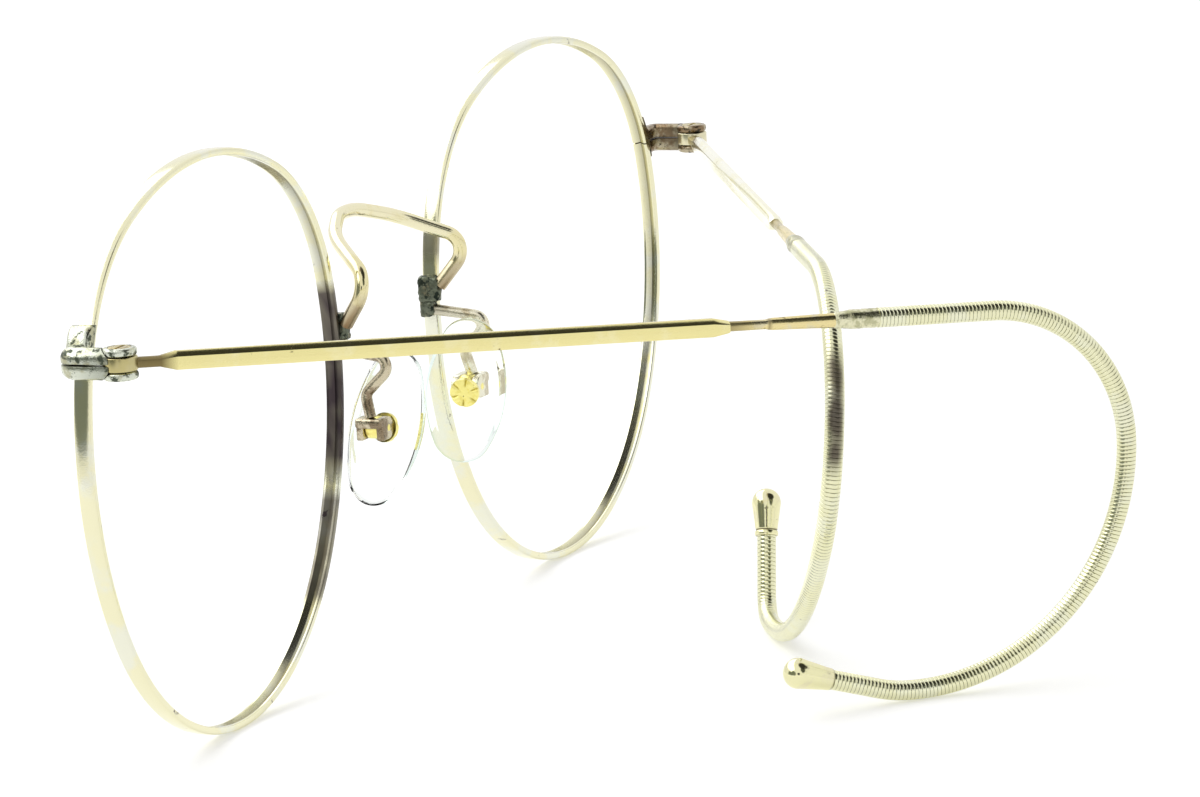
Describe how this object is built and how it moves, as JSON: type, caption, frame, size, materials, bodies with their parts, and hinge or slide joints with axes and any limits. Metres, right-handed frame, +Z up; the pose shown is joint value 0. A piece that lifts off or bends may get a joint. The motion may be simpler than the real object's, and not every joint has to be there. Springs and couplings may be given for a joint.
{
  "type": "eyeglass frame",
  "caption": "Round metal eyeglass frame with split-rim hinges, rocking nose pads on bent arms and wound cable sides that hook behind the ears.",
  "frame": {"origin": "on the table, midway between the two rims, in the middle plane of the front", "axes": "+X to the wearer's left, +Y from the front to the back, along the sides when they are open, +Z up"},
  "size_m": [0.1166, 0.0708, 0.0469],
  "materials": {
    "rim_gold": "worn rolled gold, tarnished brown inside",
    "bridge_gold": "rose-tinted worn gold with dark solder",
    "endpiece_silver": "worn through to white metal",
    "screw_brass": "dull brass",
    "arm_solder": "dark green-grey tarnish",
    "stud_brass": "yellow brass",
    "pad_clear": "clear, slightly green at the edges",
    "bar_gold": "yellow gold with a tarnished bevel",
    "cable_gold": "fine wound wire, pale gold",
    "tip_gold": "polished pale gold"
  },
  "bodies": {
    "front": {"left_rim": "rim_gold", "right_rim": "rim_gold", "bridge": "bridge_gold", "left_endpiece_upper": "endpiece_silver", "left_endpiece_lower": "endpiece_silver", "left_hinge_screw": "screw_brass", "left_pad_arm": "arm_solder", "left_pad_pin": "stud_brass", "right_endpiece_upper": "endpiece_silver", "right_endpiece_lower": "endpiece_silver", "right_hinge_screw": "screw_brass", "right_pad_arm": "arm_solder", "right_pad_pin": "stud_brass"},
    "left_side": {"left_temple_bar": "bar_gold", "left_cable_core": "cable_gold", "left_cable_winding": "cable_gold", "left_temple_tip": "tip_gold"},
    "left_nose_pad": {"left_pad_stud": "stud_brass", "left_pad": "pad_clear"},
    "right_side": {"right_temple_bar": "bar_gold", "right_cable_core": "cable_gold", "right_cable_winding": "cable_gold", "right_temple_tip": "tip_gold"},
    "right_nose_pad": {"right_pad_stud": "stud_brass", "right_pad": "pad_clear"}
  },
  "joints": [
    {"name": "left_hinge", "type": "hinge", "parent": "front", "child": "left_side", "pos_m": [0.05698, 0.0048, 0.03441], "axis": [0, 0, 1], "range_deg": [-41.5, 5]},
    {"name": "right_hinge", "type": "hinge", "parent": "front", "child": "right_side", "pos_m": [-0.05698, 0.0048, 0.03441], "axis": [0, 0, -1], "range_deg": [-59.3, 20.7]},
    {"name": "left_pad_rock", "type": "hinge", "parent": "front", "child": "left_nose_pad", "pos_m": [0.0095, 0.0027, 0.0201], "axis": [0, 1, 0], "range_deg": [-10, 10]},
    {"name": "right_pad_rock", "type": "hinge", "parent": "front", "child": "right_nose_pad", "pos_m": [-0.0095, 0.0027, 0.0201], "axis": [0, 1, 0], "range_deg": [-10, 10]}
  ]
}
